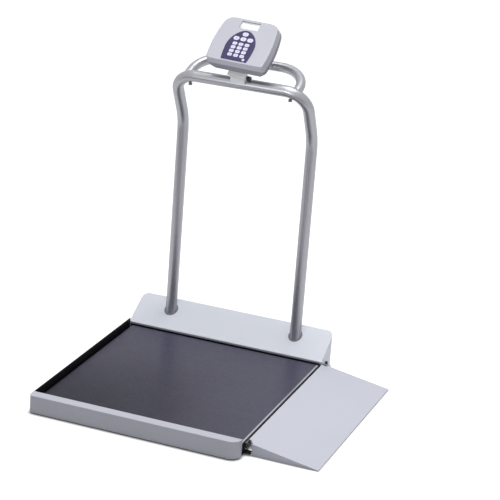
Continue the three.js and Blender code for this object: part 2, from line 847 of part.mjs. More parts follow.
// Handrail: two posts, knees that lean them forward, and a bar across the top
const railCorners = [
  [leftPost, postY, postBottom],
  [leftPost, postY, kneeHeight],
  [leftPost, barY, barHeight],
  [rightPost, barY, barHeight],
  [rightPost, postY, kneeHeight],
  [rightPost, postY, postBottom],
];
const railStations = bent(railCorners, [kneeRadius, barCornerRadius, barCornerRadius, kneeRadius]);

// Rear loop: two legs that leave the rail's corners and a bar behind the indicator
const lean = new THREE.Vector3(0, barY - postY, barHeight - kneeHeight).normalize();
const legTurn = Math.asin(1 - loopLegInset / barCornerRadius);
const legDrop = barCornerRadius * (1 - Math.cos(legTurn));
const legStartY = barY - lean.y * legDrop;
const legStartZ = barHeight - lean.z * legDrop;
const loopY = barY + loopReach;
const loopZ = barHeight + loopRise;
const legLeft = leftPost + loopLegInset;
const legRight = rightPost - loopLegInset;
const legRun = new THREE.Vector3(0, loopY - legStartY, loopZ - legStartZ).normalize();
const screwPlaces = [legLeft + screwShift, legRight - screwShift];
const screwRun = barCornerRadius - loopLegInset - screwShift;
const screwDrop = barCornerRadius - Math.sqrt(barCornerRadius ** 2 - screwRun ** 2);
const screwY = barY - lean.y * screwDrop;
const screwZ = barHeight - lean.z * screwDrop;

function alongLeg(x, distance) {
  return [x, legStartY + legRun.y * distance, legStartZ + legRun.z * distance];
}

function railScrewHoles(shape, radius) {
  let cut = shape;
  for (const x of screwPlaces) {
    cut = cut.subtract(rod([x, screwY, screwZ - 2 * tubeRadius], [x, screwY, screwZ], radius, boreSides));
  }
  return cut;
}

// The slanting way up for the cable, from inside the bar into the saddle
const cableTurn = [middle, barY - cableForward, barHeight - cableLower];
const cableEnd = [middle, barY + cableBehind, barHeight + cableRise];

function cableRoom() {
  const run = new THREE.Vector3(...cableEnd).sub(new THREE.Vector3(...cableTurn)).multiplyScalar(2);
  const far = new THREE.Vector3(...cableTurn).add(run);
  return rod(cableTurn, far.toArray(), cableRadius + 2 * bore, boreSides);
}

function handrail() {
  let rail = pipe(railStations, tubeRadius, tubeBore);
  for (const x of [legLeft, legRight]) {
    rail = rail.subtract(rod(alongLeg(x, 0), alongLeg(x, 2 * tubeRadius), spigotRadius + bore));
  }
  rail = railScrewHoles(rail, screwRadius + bore);
  const cableEntry = [rightPost - 2 * tubeRadius, postY - cableForward, cableEntryHeight];
  const inPost = [rightPost, postY - cableForward, cableEntryHeight];
  rail = rail.subtract(rod(cableEntry, inPost, cableRadius + 2 * bore, boreSides));
  return rail.subtract(cableRoom());
}

add('handrail', handrail(), 'tube');

function rearLoop() {
  const stations = bent([
    alongLeg(legLeft, 0),
    [legLeft, loopY, loopZ],
    [legRight, loopY, loopZ],
    alongLeg(legRight, 0),
  ], [loopCornerRadius, loopCornerRadius]);
  let loop = pipe(stations, loopRadius, loopRadius - loopWall);
  for (const x of [legLeft, legRight]) {
    const plug = rod(alongLeg(x, tubeRadius), alongLeg(x, 2 * tubeRadius), loopRadius - loopWall / 2);
    loop = loop.add(plug);
  }
  loop = loop.subtract(pipe(railStations, tubeRadius + fit));
  for (const x of [legLeft, legRight]) {
    loop = loop.add(rod(alongLeg(x, -spigotPlug / 2), alongLeg(x, 2 * tubeRadius - fit), spigotRadius));
    const side = x < middle ? 1 : -1;
    const ends = [x, x + side * (screwShift + 2 * screwRadius)];
    loop = loop.add(block(
      [Math.min(...ends), screwY - tongueHalf, screwZ - tongueLow],
      [Math.max(...ends), screwY + tongueHalf, screwZ - tongueHigh],
    ));
    const vent = rod(alongLeg(x, -spigotPlug), alongLeg(x, 3 * tubeRadius), screwRadius / 2, boreSides);
    loop = loop.subtract(vent);
  }
  return railScrewHoles(loop, screwRadius + bore);
}

add('rear_loop', rearLoop(), 'tube');

// Screws that hold the loop's spigots from under the bar
for (const [i, x] of screwPlaces.entries()) {
  const seat = screwZ - tubeRadius - screwSeatDrop;
  const shankTop = [x, screwY, screwZ - tongueHigh / 2];
  const shank = rod([x, screwY, seat - overrun], shankTop, screwRadius, boreSides);
  const head = rod([x, screwY, seat - screwHeadHeight], [x, screwY, seat], screwHeadRadius);
  const recess = [x, screwY, seat - screwHeadHeight / 2];
  const socket = rod([x, screwY, seat - screwHeadHeight - overrun], recess, screwSocketRadius, 6);
  add(i === 0 ? 'loop_screw_left' : 'loop_screw_right', shank.add(head).subtract(socket), 'zinc');
}

// Tilt saddle on the bar, with the cross hole for the tilt pin and a way up for the cable
const tiltY = barY - tiltForward;
const tiltZ = barHeight + tiltRise;

// Turns a solid on the bar about the upright through the tilt axis, as far as the head is turned
function swivelled(shape) {
  return shape.translate([-middle, -tiltY, 0]).rotate([0, 0, -headSwivel]).translate([middle, tiltY, 0]);
}

function tiltSaddle() {
  const low = middle - saddleHalf;
  const high = middle + saddleHalf;
  const crown = rod([low, tiltY, tiltZ], [high, tiltY, tiltZ], saddleCrown);
  const body = prismX([
    [barY - saddleFront, barHeight + saddleSkirt],
    [barY + saddleBack, barHeight + saddleSkirt],
    [barY + saddleBack, barHeight + tubeRadius + yokeDepth],
    [tiltY, tiltZ + saddleCrown],
    [tiltY - saddleCrown, tiltZ],
    [barY - saddleFront, barHeight + tubeRadius],
  ], low, high);
  const barLeft = [2 * low - middle, barY, barHeight];
  const barRight = [2 * high - middle, barY, barHeight];
  const barRoom = rod(barLeft, barRight, tubeRadius + fit);
  const pinLeft = [low - overrun, tiltY, tiltZ];
  const pinRoom = rod(pinLeft, [high + overrun, tiltY, tiltZ], pinRadius + bore, boreSides);
  return swivelled(crown.add(body).subtract(pinRoom)).subtract(barRoom).subtract(cableRoom());
}

add('tilt_saddle', tiltSaddle(), 'zinc');

// Indicator head
const head = new THREE.Group();
const tilt = THREE.MathUtils.degToRad(headAngle);
const swivel = THREE.MathUtils.degToRad(headSwivel);
head.position.set(
  middle - headFaceForward * Math.sin(swivel),
  tiltY - headFaceForward * Math.cos(swivel),
  tiltZ + headFaceRise,
);
head.rotation.set(-tilt, 0, -swivel, 'ZXY');
scale.add(head);

// The tilt axis seen from the head: its depth behind the face and its height along it
const axisDepth = headFaceForward * Math.cos(tilt) + headFaceRise * Math.sin(tilt);
const axisUp = headFaceForward * Math.sin(tilt) - headFaceRise * Math.cos(tilt);

// The head's outline with bowed sides and round corners, drawn in by an inset
function headOutline(inset) {
  const low = inset;
  const top = headHeight - inset;
  const sideTop = headHeight - headTopRound;
  const sideLow = headLowRound;
  const halfLow = headHalfLow - inset;
  const halfTop = headHalfTop - inset;
  const belly = headHalfBelly - inset;
  const level = (sideLow + sideTop) / 2;
  const cornerTop = halfTop + ((halfTop - belly) * (top - sideTop)) / (sideTop - level);
  const cornerLow = halfLow + ((halfLow - belly) * (sideLow - low)) / (level - sideLow);
  const outline = new THREE.Shape();
  outline.moveTo(-cornerLow + headLowRound, low);
  outline.lineTo(cornerLow - headLowRound, low);
  outline.quadraticCurveTo(cornerLow, low, halfLow, sideLow);
  outline.quadraticCurveTo(belly, level, halfTop, sideTop);
  outline.quadraticCurveTo(cornerTop, top, cornerTop - headTopRound, top);
  outline.lineTo(-cornerTop + headTopRound, top);
  outline.quadraticCurveTo(-cornerTop, top, -halfTop, sideTop);
  outline.quadraticCurveTo(-belly, level, -halfLow, sideLow);
  outline.quadraticCurveTo(-cornerLow, low, -cornerLow + headLowRound, low);
  return outline;
}

// The outline of the rear wall: smaller, with a low middle that the tilt yoke hangs from
function rearOutline(inset) {
  const half = headHalfLow - headRearInset - inset;
  const top = headHeight - headRearDrop - inset;
  const outline = new THREE.Shape();
  outline.moveTo(-headHumpHalf, headRearHump + inset);
  outline.lineTo(headHumpHalf, headRearHump + inset);
  outline.quadraticCurveTo(half, headRearRise / 2, half, headRearRise + inset);
  outline.lineTo(half, top - headTopRound);
  outline.quadraticCurveTo(half, top, half - headTopRound, top);
  outline.lineTo(-half + headTopRound, top);
  outline.quadraticCurveTo(-half, top, -half, top - headTopRound);
  outline.lineTo(-half, headRearRise + inset);
  outline.quadraticCurveTo(-half, headRearRise / 2, -headHumpHalf, headRearHump + inset);
  return outline;
}

// An outline in the head's face pushed into the head from one depth to another
function deep(outline, from, to, curveSegments = 8) {
  const depth = to - from;
  const geometry = new THREE.ExtrudeGeometry(outline, { depth, bevelEnabled: false, curveSegments });
  geometry.applyMatrix4(new THREE.Matrix4().set(1, 0, 0, 0, 0, 0, -1, to, 0, 1, 0, 0, 0, 0, 0, 1));
  return solid(geometry);
}

// A bulging solid through outlines at their depths
function loft(...stations) {
  const points = [];
  for (const [outline, depth] of stations) {
    for (const p of outline.getPoints(6)) {
      points.push(new THREE.Vector3(p.x, depth, p.y));
    }
  }
  return solid(new ConvexGeometry(points));
}

// A rectangle in the face, about its middle unless shifted
function panel(half, low, high, shift = 0) {
  const outline = new THREE.Shape();
  outline.moveTo(shift - half, low);
  outline.lineTo(shift + half, low);
  outline.lineTo(shift + half, high);
  outline.lineTo(shift - half, high);
  return outline;
}

// The keypad's arch: narrow at the foot, widest at mid height, round on top
function archOutline(inset) {
  const low = archLow + inset;
  const top = archTop - inset;
  const halfLow = archHalfLow - inset;
  const wide = archHalfWide - inset;
  const level = (low + archWideAt) / 2;
  const crown = (archWideAt + top) / 2;
  const arch = new THREE.Shape();
  arch.moveTo(faceShift - halfLow, low);
  arch.lineTo(faceShift + halfLow, low);
  arch.quadraticCurveTo(faceShift + wide, level, faceShift + wide, archWideAt);
  arch.bezierCurveTo(faceShift + wide, crown, faceShift + wide / 2, top, faceShift, top);
  arch.bezierCurveTo(faceShift - wide / 2, top, faceShift - wide, crown, faceShift - wide, archWideAt);
  arch.quadraticCurveTo(faceShift - wide, level, faceShift - halfLow, low);
  return arch;
}

// Every key: its name, its place in the face and its half width and height
function keyTable() {
  const keys = [];
  keys.push({ name: 'key_power', x: faceShift, z: ovalTop, half: ovalKeyHalf });
  for (const [i, name] of ['key_weigh', 'key_tare', 'key_hold'].entries()) {
    keys.push({ name, x: faceShift + (i - 1) * ovalPitch, z: ovalRow, half: ovalKeyHalf });
  }
  const labels = ['1', '2', '3', '4', '5', '6', '7', '8', '9', 'clear', '0', 'enter'];
  for (const [i, label] of labels.entries()) {
    const column = (i % 3) - 1;
    const row = Math.floor(i / 3);
    const z = keyRowTop - row * keyRowPitch;
    keys.push({ name: `key_${label}`, x: faceShift + column * keyColumnPitch, z, half: numberKeyHalf });
  }
  keys.push({ name: 'key_light', x: faceShift + roundKeyAcross, z: roundKeyUp, half: roundKeyHalf });
  return keys;
}

// A key's outline, grown by a margin: a rectangle with large round corners
function keyOutline({ x, z, half }, margin) {
  const across = half[0] + margin;
  const up = half[1] + margin;
  const corner = up * (half === numberKeyHalf ? keyCornerShares.number : keyCornerShares.round);
  const outline = new THREE.Shape();
  outline.moveTo(x + across, z + up - corner);
  outline.absarc(x + across - corner, z + up - corner, corner, 0, Math.PI / 2, false);
  outline.absarc(x - across + corner, z + up - corner, corner, Math.PI / 2, Math.PI, false);
  outline.absarc(x - across + corner, z - up + corner, corner, Math.PI, (3 * Math.PI) / 2, false);
  outline.absarc(x + across - corner, z - up + corner, corner, (3 * Math.PI) / 2, 2 * Math.PI, false);
  return outline;
}

const keyCornerShares = { number: 0.7, round: 0.96 };
const keySegments = 3;
const boardFront = overlayPocket + keyFlangeThickness + keyStemLength + keyTravelRoom;
const boardRear = boardFront + boardThickness;
const frontOfGlass = shellWall + fit;
const boardPosts = [
  [-boardHalf + boardPostInset, boardLow + boardPostInset],
  [boardHalf - boardPostInset, boardLow + boardPostInset],
  [-boardHalf + boardPostInset, boardHigh - boardPostInset],
  [boardHalf - boardPostInset, boardHigh - boardPostInset],
];

// Front shell: the face with its display window and keypad pocket, and posts for the board
function frontShell() {
  let shell = loft([headOutline(headFlare), 0], [headOutline(0), frontShellDepth]);
  const hollow = loft(
    [headOutline(headFlare + shellWall), shellWall],
    [headOutline(shellWall), frontShellDepth],
    [headOutline(shellWall), frontShellDepth + overrun],
  );
  shell = shell.subtract(hollow);
  const window = panel(windowHalf, windowLow, windowHigh, faceShift);
  shell = shell.subtract(deep(window, -overrun, 2 * shellWall));
  shell = shell.subtract(deep(archOutline(-fit), -overrun, overlayPocket, archSegments));
  shell = shell.subtract(deep(archOutline(overlayRim), -overrun, 2 * shellWall, archSegments));
  for (const [x, z] of boardPosts) {
    shell = shell.add(rod([x, shellWall / 2, z], [x, boardFront - fit, z], boardPostRadius, boreSides));
  }
  return shell;
}

add('head_front_shell', frontShell(), 'casing', head);

// Rear shell, with the battery opening in its back wall
function rearShell() {
  const start = frontShellDepth + fit;
  let shell = loft([headOutline(0), start], [headOutline(0), headSideDepth], [rearOutline(0), headDepth]);
  const hollow = loft(
    [headOutline(shellWall), start - overrun],
    [headOutline(shellWall), headSideDepth],
    [rearOutline(shellWall), headDepth - shellWall],
  );
  shell = shell.subtract(hollow);
  const opening = panel(doorHalf, doorLow, doorHigh);
  return shell.subtract(deep(opening, headDepth - 2 * shellWall, headDepth + overrun));
}

add('head_rear_shell', rearShell(), 'casingRear', head);

// Battery door and the pack behind it
function batteryDoor() {
  const plate = panel(doorHalf - fit, doorLow + fit, doorHigh - fit);
  const lid = deep(plate, headDepth - shellWall + fit, headDepth);
  const notch = panel(doorHalf / 3, doorHigh - doorHalf / 4, doorHigh - doorHalf / 8);
  const grip = deep(notch, headDepth - shellWall / 2, headDepth + overrun);
  return lid.subtract(grip);
}

add('battery_door', batteryDoor(), 'casingRear', head);
const packRear = headDepth - shellWall - fit;
add('battery_pack', deep(
  panel(doorHalf - packMargin, doorLow + packMargin, doorHigh - packMargin),
  packRear - packThickness,
  packRear,
), 'black', head);

// Display glass behind the window, and the liquid crystal module on the board
add('display_window', deep(
  panel(windowHalf + windowRim, windowLow - windowRim, windowHigh + windowRim, faceShift),
  frontOfGlass,
  frontOfGlass + windowGlass,
), 'glass', head);
add('lcd_module', deep(
  panel(windowHalf + windowRim / 2, windowLow - windowRim / 2, windowHigh + windowRim / 2, faceShift),
  boardFront - fit - lcdThickness,
  boardFront - fit,
), 'black', head);
add('circuit_board', deep(panel(boardHalf, boardLow, boardHigh), boardFront, boardRear), 'board', head);

// Keypad overlay with a hole for every key
function keypadOverlay() {
  const back = overlayPocket - fit;
  let overlay = deep(archOutline(0), back - overlayThickness, back, archSegments);
  for (const key of keyTable()) {
    overlay = overlay.subtract(deep(keyOutline(key, fit), -overrun, overlayPocket, keySegments));
  }
  return overlay;
}

add('keypad_overlay', keypadOverlay(), 'overlay', head);

// Keys: a cap through the overlay, a flange under it and a stem over the board's switch
for (const key of keyTable()) {
  const local = { x: 0, z: 0, half: key.half };
  const flangeEnd = overlayPocket + keyFlangeThickness;
  const cap = deep(keyOutline(local, 0), -keyProud, overlayPocket + keyFlangeThickness / 2, keySegments);
  const flange = deep(keyOutline(local, keyFlange), overlayPocket, flangeEnd, keySegments);
  const stemEnd = flangeEnd + keyStemLength;
  const stem = rod([0, overlayPocket, 0], [0, stemEnd, 0], keyStemRadius, 8);
  const mesh = add(key.name, cap.add(flange).add(stem), 'key', head);
  mesh.position.set(key.x, 0, key.z);
}

// Tilt yoke: a plate on the rear shell with two ears that straddle the saddle
const earInner = saddleHalf + fit;
const earOuter = earInner + earWall;

function tiltYoke() {
  const face = headDepth + fit;
  const plate = panel(yokeHalf, axisUp - yokeHeight / 3, axisUp + (2 * yokeHeight) / 3);
  let yoke = deep(plate, face, face + yokeDepth);
  for (const side of [-1, 1]) {
    const inner = side * earInner;
    const outer = side * earOuter;
    const low = Math.min(inner, outer);
    const high = Math.max(inner, outer);
    const eye = rod([low, axisDepth, axisUp], [high, axisDepth, axisUp], earRadius);
    const arm = block([low, face, axisUp - earRadius], [high, axisDepth, axisUp + earRadius]);
    yoke = yoke.add(eye).add(arm);
  }
  const holeLeft = [-yokeHalf, axisDepth, axisUp];
  const hole = rod(holeLeft, [yokeHalf, axisDepth, axisUp], pinRadius + bore, boreSides);
  return yoke.subtract(hole);
}

add('tilt_yoke', tiltYoke(), 'zinc', head);

// Tilt pin with a hexagon head on the left and its thread in the knob on the right
const knobStart = earOuter + fit;
const knobBoreEnd = knobStart + knobLength - knobFloor;
const pinHeadStart = -earOuter - fit;
const shank = rod([pinHeadStart, 0, 0], [knobBoreEnd - fit, 0, 0], pinRadius, boreSides);
const hexagon = rod([pinHeadStart - pinHeadLength, 0, 0], [pinHeadStart, 0, 0], pinHeadRadius, 6);
const tiltPin = add('tilt_pin', shank.add(hexagon), 'zinc', head);
tiltPin.position.set(0, axisDepth, axisUp);

// Tilt knob: a fluted grip with a blind bore
function tiltKnob() {
  const lobes = 9;
  const flute = knobRadius / 5;
  let grip = rod([knobStart, 0, 0], [knobStart + knobLength, 0, 0], knobRadius, knobSides);
  for (let i = 0; i < lobes; i += 1) {
    const angle = (2 * Math.PI * i) / lobes;
    const y = (knobRadius + flute / 3) * Math.cos(angle);
    const z = (knobRadius + flute / 3) * Math.sin(angle);
    const groove = rod([knobStart - overrun, y, z], [knobStart + knobLength + overrun, y, z], flute, 8);
    grip = grip.subtract(groove);
  }
  return grip.subtract(rod([knobStart - overrun, 0, 0], [knobBoreEnd, 0, 0], pinRadius + bore, boreSides));
}

const knob = add('tilt_knob', tiltKnob(), 'rubber', head);
knob.position.set(0, axisDepth, axisUp);

// Signal cable: from the junction box into the right post, through the rail and up into the saddle
function signalCable() {
  const start = [middle + boxLength / 2 + fit, (boxFront + boxRear) / 2, cellBottom + boxHeight / 2];
  const turnX = rightPost - cableEntryRun;
  const centre = [
    start,
    [turnX, start[1], start[2]],
    [turnX, postY - cableForward, cableEntryHeight],
    [rightPost, postY - cableForward, cableEntryHeight],
    [rightPost, postY - cableForward, kneeHeight - cableLower],
    [rightPost, cableTurn[1], cableTurn[2]],
    cableTurn,
    cableEnd,
  ];
  const radii = [cableBend, cableBend, cableBend, kneeRadius, barCornerRadius, cableBend];
  return pipe(bent(centre, radii, wireStep), cableRadius, 0, 8);
}

add('signal_cable', signalCable(), 'rubber');

// The origin is under the middle of the whole scale, ramp and rear loop included
const overallLength = rampToe;
const overallDepth = Math.max(platformDepth, loopY + loopRadius);
const assembly = new THREE.Group();
scale.position.set(-overallLength / 2, -overallDepth / 2, 0);
assembly.add(scale);

export default assembly;
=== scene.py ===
"""Looks of the wheelchair platform scale: finishes, key marks, ribbed mat, soft edges and studio.

Metres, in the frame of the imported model: the origin is on the floor under the middle of the
scale, +X towards the ramp, +Y towards the rear console and +Z up.
"""
import json
import math

import bmesh
import bpy
from mathutils import Matrix, Vector


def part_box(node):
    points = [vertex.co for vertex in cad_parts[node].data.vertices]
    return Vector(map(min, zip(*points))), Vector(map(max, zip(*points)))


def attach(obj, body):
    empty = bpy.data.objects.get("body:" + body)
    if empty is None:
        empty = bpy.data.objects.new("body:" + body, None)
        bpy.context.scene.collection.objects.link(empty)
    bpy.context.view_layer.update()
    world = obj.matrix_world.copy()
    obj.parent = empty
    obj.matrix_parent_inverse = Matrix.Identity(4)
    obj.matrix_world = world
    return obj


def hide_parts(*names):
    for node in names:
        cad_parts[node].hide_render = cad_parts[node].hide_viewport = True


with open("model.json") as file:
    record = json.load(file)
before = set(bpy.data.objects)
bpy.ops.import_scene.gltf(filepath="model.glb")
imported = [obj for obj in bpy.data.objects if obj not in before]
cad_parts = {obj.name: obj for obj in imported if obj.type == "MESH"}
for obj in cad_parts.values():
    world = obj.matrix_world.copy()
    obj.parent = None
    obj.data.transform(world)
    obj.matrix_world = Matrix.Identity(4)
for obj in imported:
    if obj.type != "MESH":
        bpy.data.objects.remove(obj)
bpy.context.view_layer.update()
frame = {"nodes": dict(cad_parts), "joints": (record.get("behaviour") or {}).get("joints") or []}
nodes = frame["nodes"]
scene = bpy.context.scene

MILLI = 0.001


# Camera, as fitted to the photograph's straight edges

CAMERA_PLACE = (2.0330, -5.5081, 2.5674)
CAMERA_RIGHT = Vector((0.9237866, 0.3770608, 0.0666591))
CAMERA_DOWN = Vector((0.1843397, -0.2853541, -0.9405275))
CAMERA_AHEAD = Vector((-0.3356146, 0.8811346, -0.3331135))
SENSOR = 36.0
PHOTO_WIDTH = 500.0
FOCAL_PIXELS = 1982.03
SHIFT_ACROSS = 0.078
NEAREST = 0.1
FARTHEST = 60.0


def place_camera():
    data = bpy.data.cameras.new("studio_camera")
    data.sensor_fit = "HORIZONTAL"
    data.sensor_width = SENSOR
    data.lens = SENSOR * FOCAL_PIXELS / PHOTO_WIDTH
    data.shift_x = SHIFT_ACROSS
    data.clip_start = NEAREST
    data.clip_end = FARTHEST
    camera = bpy.data.objects.new("studio_camera", data)
    turn = Matrix((CAMERA_RIGHT, -CAMERA_DOWN, -CAMERA_AHEAD)).transposed()
    camera.matrix_world = Matrix.Translation(CAMERA_PLACE) @ turn.to_4x4()
    scene.collection.objects.link(camera)
    scene.camera = camera


# Node helpers: a term is a number or an output socket

def feed(tree, slot, term):
    """Sets an input to a number, or links it to a socket."""
    if isinstance(term, (int, float)):
        slot.default_value = term
    else:
        tree.links.new(term, slot)


def math_node(tree, operation, *terms):
    node = tree.nodes.new("ShaderNodeMath")
    node.operation = operation
    for slot, term in zip(node.inputs, terms):
        feed(tree, slot, term)
    return node.outputs[0]


def noise_value(tree, scale, detail):
    noise = tree.nodes.new("ShaderNodeTexNoise")
    noise.inputs["Detail"].default_value = detail
    where = tree.nodes.new("ShaderNodeTexCoord")
    tree.links.new(where.outputs["Object"], noise.inputs["Vector"])
    feed(tree, noise.inputs["Scale"], scale)
    return noise.outputs["Fac"]


def centred(tree, value, amount):
    """Turns a 0 to 1 value into one that swings around 1 by the amount."""
    offset = math_node(tree, "SUBTRACT", value, 0.5)
    return math_node(tree, "MULTIPLY_ADD", offset, amount, 1.0)


def tinted(tree, colour, factor):
    scale = tree.nodes.new("ShaderNodeVectorMath")
    scale.operation = "SCALE"
    tree.links.new(colour, scale.inputs[0])
    tree.links.new(factor, scale.inputs["Scale"])
    return scale.outputs[0]


def either(tree, first, second, choice):
    """The second shader where the choice is 1, else the first."""
    mix = tree.nodes.new("ShaderNodeMixShader")
    tree.links.new(choice, mix.inputs["Fac"])
    tree.links.new(first, mix.inputs[1])
    tree.links.new(second, mix.inputs[2])
    return mix.outputs[0]


def shown(tree):
    """1 for the rays that see the backdrop: the camera's, and what metal and glass pass on."""
    path = tree.nodes.new("ShaderNodeLightPath")
    direct = math_node(tree, "MAXIMUM", path.outputs["Is Camera Ray"],
                       path.outputs["Is Transmission Ray"])
    return math_node(tree, "MAXIMUM", direct, path.outputs["Is Glossy Ray"])


# Light: strengths in watts, places and sizes in metres

ROOM_COLOUR = (0.93, 0.94, 1.0, 1)
ROOM_FRONT = 0.12
ROOM_BACK = 0.55
BACKDROP = 0.98
FRONT_LAMP = {"place": (0.3, -2.2, 4.4), "aim": (0, 0, 0.4), "size": (2.4, 2.4), "power": 42.0}
TOP_LAMP = {"place": (0.2, 0.4, 4.4), "aim": (0.3, 0.3, 0), "size": (2.6, 2.2), "power": 92.0}
HEAD_LAMP = {"place": (-0.3, -2.2, 1.0), "aim": (-0.08, 0.27, 0.97), "spread": math.radians(20),
             "softness": 0.25, "power": 96.0}


def hang_lamp(name, data, place, aim, power):
    data.energy = power
    lamp = bpy.data.objects.new(name, data)
    lamp.location = place
    lamp.rotation_euler = (Vector(aim) - Vector(place)).to_track_quat("-Z", "Y").to_euler()
    scene.collection.objects.link(lamp)
    return lamp


def area_light(name, place, aim, size, power):
    data = bpy.data.lights.new(name, "AREA")
    data.shape = "RECTANGLE"
    data.size, data.size_y = size
    hang_lamp(name, data, place, aim, power)


def spot_light(name, place, aim, spread, softness, power):
    """A soft round lamp that reaches only what is near its aim."""
    data = bpy.data.lights.new(name, "SPOT")
    data.spot_size = spread
    data.spot_blend = 1.0
    data.shadow_soft_size = softness
    holder = hang_lamp(name, data, place, aim, power)


def light_room():
    """A white backdrop, and a room for diffuse light that is dimmer towards the front."""
    world = bpy.data.worlds.new("studio")
    scene.world = world
    world.use_nodes = True
    tree = world.node_tree
    tree.nodes.clear()
    where = tree.nodes.new("ShaderNodeTexCoord")
    split = tree.nodes.new("ShaderNodeSeparateXYZ")
    tree.links.new(where.outputs["Generated"], split.inputs[0])
    depth = tree.nodes.new("ShaderNodeMapRange")
    depth.inputs["From Min"].default_value = -1.0
    depth.inputs["To Min"].default_value = ROOM_FRONT
    depth.inputs["To Max"].default_value = ROOM_BACK
    tree.links.new(split.outputs["Y"], depth.inputs["Value"])
    backdrop, room = (tree.nodes.new("ShaderNodeBackground") for _ in range(2))
    backdrop.inputs["Color"].default_value = (BACKDROP, BACKDROP, BACKDROP, 1)
    room.inputs["Color"].default_value = ROOM_COLOUR
    tree.links.new(depth.outputs[0], room.inputs["Strength"])
    out = tree.nodes.new("ShaderNodeOutputWorld")
    sight = either(tree, room.outputs[0], backdrop.outputs[0], shown(tree))
    tree.links.new(sight, out.inputs["Surface"])


def light_studio():
    light_room()
    area_light("key_light", **FRONT_LAMP)
    spot_light("head_light", **HEAD_LAMP)
    area_light("top_light", **TOP_LAMP)


# Floor, and a dark card before the scale

FLOOR_REACH = 9.0
FLOOR_GLOW = 0.82
FLOOR_TONE = 0.60
CONTACT_REACH = 0.014
CONTACT_DEPTH = 1.7
CONTACT_SAMPLES = 8
CARD_SIDE = 3.0
CARD_FRONT = -4.0
CARD_REAR = -0.95
CARD_LEVEL = 0.06
CARD_TONE = 0.10


def flat_sheet(name, low, high, level, material):
    """A level rectangle of the studio."""
    mesh = bpy.data.meshes.new(name)
    corners = [(low[0], low[1]), (high[0], low[1]), (high[0], high[1]), (low[0], high[1])]
    mesh.from_pydata([(x, y, level) for x, y in corners], [], [(0, 1, 2, 3)])
    mesh.materials.append(material)
    sheet = bpy.data.objects.new(name, mesh)
    scene.collection.objects.link(sheet)


def studio_material(name):
    material = bpy.data.materials.new(name)
    material.use_nodes = True
    tree = material.node_tree
    tree.nodes.clear()
    return material, tree, tree.nodes.new("ShaderNodeOutputMaterial")


def lay_floor():
    """White paper under the scale, with a painted contact shadow where something stands just above
    it.
    """
    material, tree, out = studio_material("floor_paper")
    contact = tree.nodes.new("ShaderNodeAmbientOcclusion")
    contact.inputs["Distance"].default_value = CONTACT_REACH
    contact.samples = CONTACT_SAMPLES
    # Painted contact shadow: occlusion darkens the paper's colour and its glow
    open_share = math_node(tree, "POWER", contact.outputs["AO"], CONTACT_DEPTH)
    paper = tree.nodes.new("ShaderNodeBsdfDiffuse")
    tree.links.new(math_node(tree, "MULTIPLY", open_share, FLOOR_TONE), paper.inputs["Color"])
    glow = tree.nodes.new("ShaderNodeEmission")
    strength = math_node(tree, "MULTIPLY", shown(tree), FLOOR_GLOW)
    tree.links.new(math_node(tree, "MULTIPLY", strength, open_share), glow.inputs["Strength"])
    both = tree.nodes.new("ShaderNodeAddShader")
    tree.links.new(paper.outputs[0], both.inputs[0])
    tree.links.new(glow.outputs[0], both.inputs[1])
    tree.links.new(both.outputs[0], out.inputs["Surface"])
    flat_sheet("studio_floor", (-FLOOR_REACH, -FLOOR_REACH), (FLOOR_REACH, FLOOR_REACH), 0,
               material)


def lay_dark_card():
    """A grey card that only shows in the scale's metal, as a dark core in each post."""
    material, tree, out = studio_material("dark_card")
    path = tree.nodes.new("ShaderNodeLightPath")
    clear = tree.nodes.new("ShaderNodeBsdfTransparent")
    tone = tree.nodes.new("ShaderNodeEmission")
    tone.inputs["Strength"].default_value = CARD_TONE
    sight = either(tree, clear.outputs[0], tone.outputs[0], path.outputs["Is Glossy Ray"])
    tree.links.new(sight, out.inputs["Surface"])
    flat_sheet("dark_card", (-CARD_SIDE, CARD_FRONT), (CARD_SIDE, CARD_REAR), CARD_LEVEL, material)


# Shared surface effects, kept as node groups

DETAIL = {"fleck": 3.0, "drift": 2.0, "tread_patch": 3.0, "tread_grain": 2.0, "edge_patch": 4.0,
          "smear": 5.0}
TREAD_PATCH_SCALE, TREAD_PATCH_AMOUNT = 6.0, 0.25
TREAD_GRAIN_SCALE, TREAD_GRAIN_AMOUNT = 150.0, 0.5
EDGE_MARK_REACH = 0.0025
EDGE_MARK_SAMPLES = 4
EDGE_MARK_GAIN = 6.0
EDGE_MARK_PATCH_SCALE = 55.0
GROUPS = {}


def input_kind(value):
    """The kind of an input, told by its default: a number, a place or a colour."""
    if isinstance(value, float):
        return "NodeSocketFloat"
    return "NodeSocketVector" if len(value) == 3 else "NodeSocketColor"


def new_group(name, inputs, outputs):
    """A group with its sockets: inputs by label and default, outputs by label and kind."""
    tree = bpy.data.node_groups.new(name, "ShaderNodeTree")
    for label, value in inputs.items():
        socket = tree.interface.new_socket(label, in_out="INPUT", socket_type=input_kind(value))
        socket.default_value = value
    for label, kind in outputs.items():
        tree.interface.new_socket(label, in_out="OUTPUT", socket_type="NodeSocket" + kind)
    GROUPS[name] = tree
    return tree, tree.nodes.new("NodeGroupInput").outputs, tree.nodes.new("NodeGroupOutput").inputs


def build_coat_fleck():
    """Fine flecks and a slow drift of tone, as in sprayed coatings and moulded plastic."""
    tree, given, result = new_group(
        "coat_fleck",
        {"Colour": (0.8, 0.8, 0.8, 1), "Fleck Scale": 900.0, "Fleck Amount": 0.1,
         "Drift Scale": 5.0, "Drift Amount": 0.06},
        {"Colour": "Color", "Height": "Float"},
    )
    fleck = noise_value(tree, given["Fleck Scale"], DETAIL["fleck"])
    drift = noise_value(tree, given["Drift Scale"], DETAIL["drift"])
    swing = math_node(tree, "MULTIPLY", centred(tree, fleck, given["Fleck Amount"]),
                      centred(tree, drift, given["Drift Amount"]))
    tree.links.new(tinted(tree, given["Colour"], swing), result["Colour"])
    tree.links.new(fleck, result["Height"])


